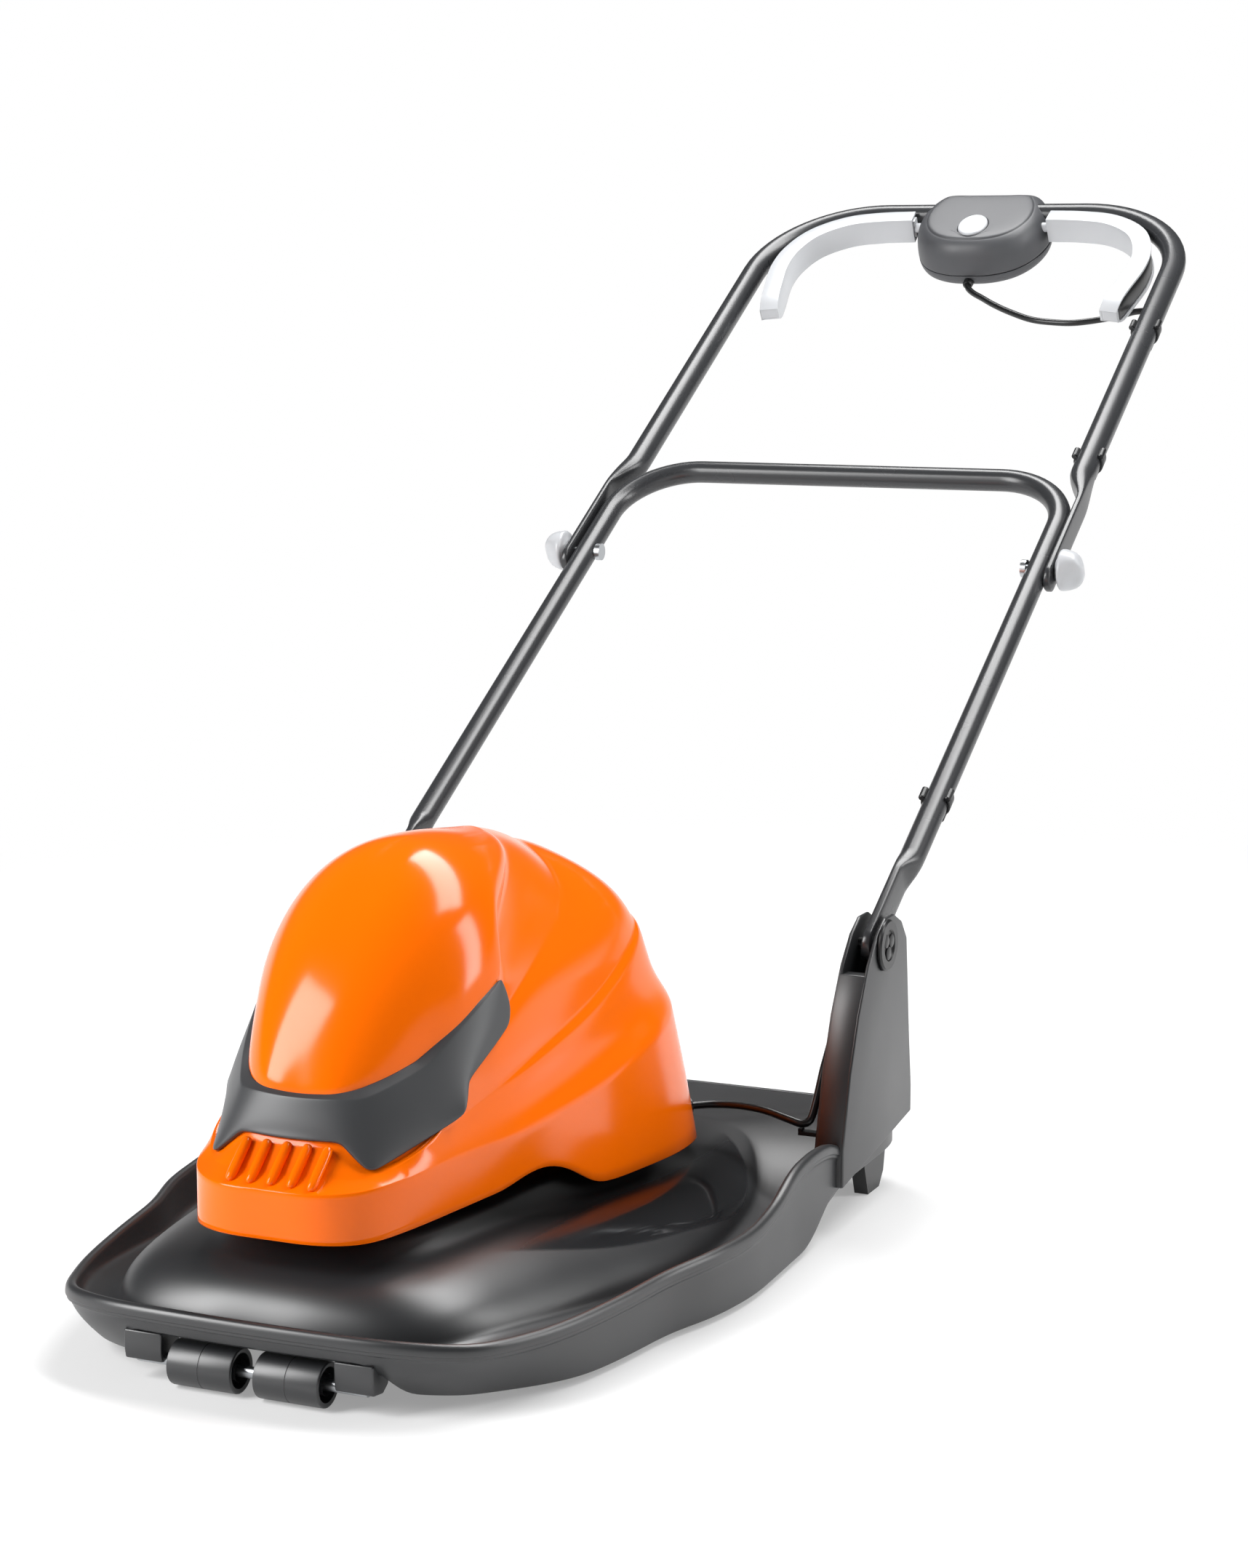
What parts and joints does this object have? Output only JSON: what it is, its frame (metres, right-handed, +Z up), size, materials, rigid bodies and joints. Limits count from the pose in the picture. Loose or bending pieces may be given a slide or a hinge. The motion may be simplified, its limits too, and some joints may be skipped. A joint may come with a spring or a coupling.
{
  "type": "hover mower",
  "caption": "Electric hover mower with a moulded deck, tall motor cover, front rollers, folding tube handle, switch box with lock button and squeeze bail.",
  "frame": {"origin": "on the ground below the middle of the bounding box", "axes": "+Z up, -Y towards the front rollers, +Y towards the grip, +X to the right seen from the front"},
  "size_m": [0.5302, 1.6144, 0.8137],
  "materials": {
    "deck_plastic": "grained moulded grey black",
    "cover_plastic": "glossy orange",
    "trim_plastic": "satin dark grey",
    "box_plastic": "fine grained dark grey",
    "black_plastic": "black",
    "light_plastic": "light grey, smooth",
    "tube_steel": "dark grey lacquer, semi gloss",
    "bare_steel": "bright steel",
    "cast_alloy": "cast",
    "winding": "laminated stack with windings",
    "lead_rubber": "black cable sheath",
    "belt_rubber": "ribbed black"
  },
  "bodies": {
    "deck": {"deck_hood": "deck_plastic", "bracket_left": "deck_plastic", "bracket_right": "deck_plastic", "motor_cover": "cover_plastic", "front_trim": "trim_plastic", "cover_screws": "bare_steel", "roller_support_left": "deck_plastic", "roller_support_right": "deck_plastic", "roller_axle": "bare_steel", "rear_skid_left": "black_plastic", "rear_skid_right": "black_plastic", "motor_plate": "cast_alloy", "motor_field": "bare_steel", "motor_end_cap": "black_plastic", "motor_brushes": "black_plastic", "motor_bearings": "bare_steel", "spindle_housing": "cast_alloy", "spindle_bearings": "bare_steel", "drive_belt": "belt_rubber", "terminal_block": "light_plastic", "cover_grommet": "lead_rubber", "cable_hook": "black_plastic", "lead_deck": "lead_rubber", "lead_pivot": "lead_rubber", "pivot_pin_left": "black_plastic", "pivot_pin_right": "black_plastic"},
    "rotor": {"armature": "winding", "motor_fan": "black_plastic", "motor_pulley": "cast_alloy"},
    "cutter": {"spindle": "bare_steel", "spindle_pulley": "cast_alloy", "impeller": "black_plastic", "blade": "bare_steel", "blade_spacer": "black_plastic", "blade_bolt": "bare_steel"},
    "front_roller_left": {"roller_left": "deck_plastic"},
    "front_roller_right": {"roller_right": "deck_plastic"},
    "lower_frame": {"lower_handle": "tube_steel", "handle_bolts": "bare_steel", "lower_clip": "black_plastic", "lead_lower": "lead_rubber"},
    "upper_frame": {"upper_handle": "tube_steel", "upper_clips": "black_plastic", "box_base": "box_plastic", "box_top": "box_plastic", "box_screws": "bare_steel", "switch_unit": "black_plastic", "lead_gland": "lead_rubber", "lead_upper": "lead_rubber", "lead_joint": "lead_rubber", "bail_spring": "bare_steel", "button_spring": "bare_steel"},
    "clamp_left": {"knob_left": "light_plastic"},
    "clamp_right": {"knob_right": "light_plastic"},
    "switch_bail": {"bail": "light_plastic"},
    "safety_button": {"lock_button": "light_plastic"}
  },
  "joints": [
    {"name": "lower_fold", "type": "hinge", "parent": "deck", "child": "lower_frame", "pos_m": [0, -0.20414, 0.208], "axis": [1, 0, 0], "range_deg": [0, 149], "deforming": ["lead_pivot"]},
    {"name": "upper_fold", "type": "hinge", "parent": "lower_frame", "child": "upper_frame", "pos_m": [0, 0.22701, 0.46706], "axis": [1, 0, 0], "range_deg": [-150, 0], "deforming": ["lead_joint"]},
    {"name": "knob_left_turn", "type": "hinge", "parent": "lower_frame", "child": "clamp_left", "pos_m": [-0.25, 0.22701, 0.46706], "axis": [1, 0, 0], "continuous": true},
    {"name": "knob_right_turn", "type": "hinge", "parent": "lower_frame", "child": "clamp_right", "pos_m": [0.25, 0.22701, 0.46706], "axis": [1, 0, 0], "continuous": true},
    {"name": "bail_pull", "type": "hinge", "parent": "upper_frame", "child": "switch_bail", "pos_m": [0, 0.74354, 0.77626], "axis": [-1, 0, 0], "range_deg": [0, 8], "stiffness_Nm_per_rad": 3, "springref_deg": -20.05},
    {"name": "button_press", "type": "slide", "parent": "upper_frame", "child": "safety_button", "axis": [0, 0.515, -0.8572], "range_m": [0, 0.004], "stiffness_N_per_m": 400, "springref_m": -0.002, "deforming": ["button_spring"]},
    {"name": "roller_left_spin", "type": "hinge", "parent": "deck", "child": "front_roller_left", "pos_m": [-0.0328, -0.79114, 0.0155], "axis": [1, 0, 0], "continuous": true},
    {"name": "roller_right_spin", "type": "hinge", "parent": "deck", "child": "front_roller_right", "pos_m": [0.0328, -0.79114, 0.0155], "axis": [1, 0, 0], "continuous": true},
    {"name": "cutter_spin", "type": "hinge", "parent": "deck", "child": "cutter", "pos_m": [0, -0.49197, 0.06], "axis": [0, 0, 1], "continuous": true},
    {"name": "rotor_spin", "type": "hinge", "parent": "deck", "child": "rotor", "pos_m": [0, -0.56418, 0.18], "axis": [0, 0, 1], "continuous": true}
  ],
  "couplings": [
    {"joint": "rotor_spin", "follows": "cutter_spin", "ratio": 4}
  ]
}
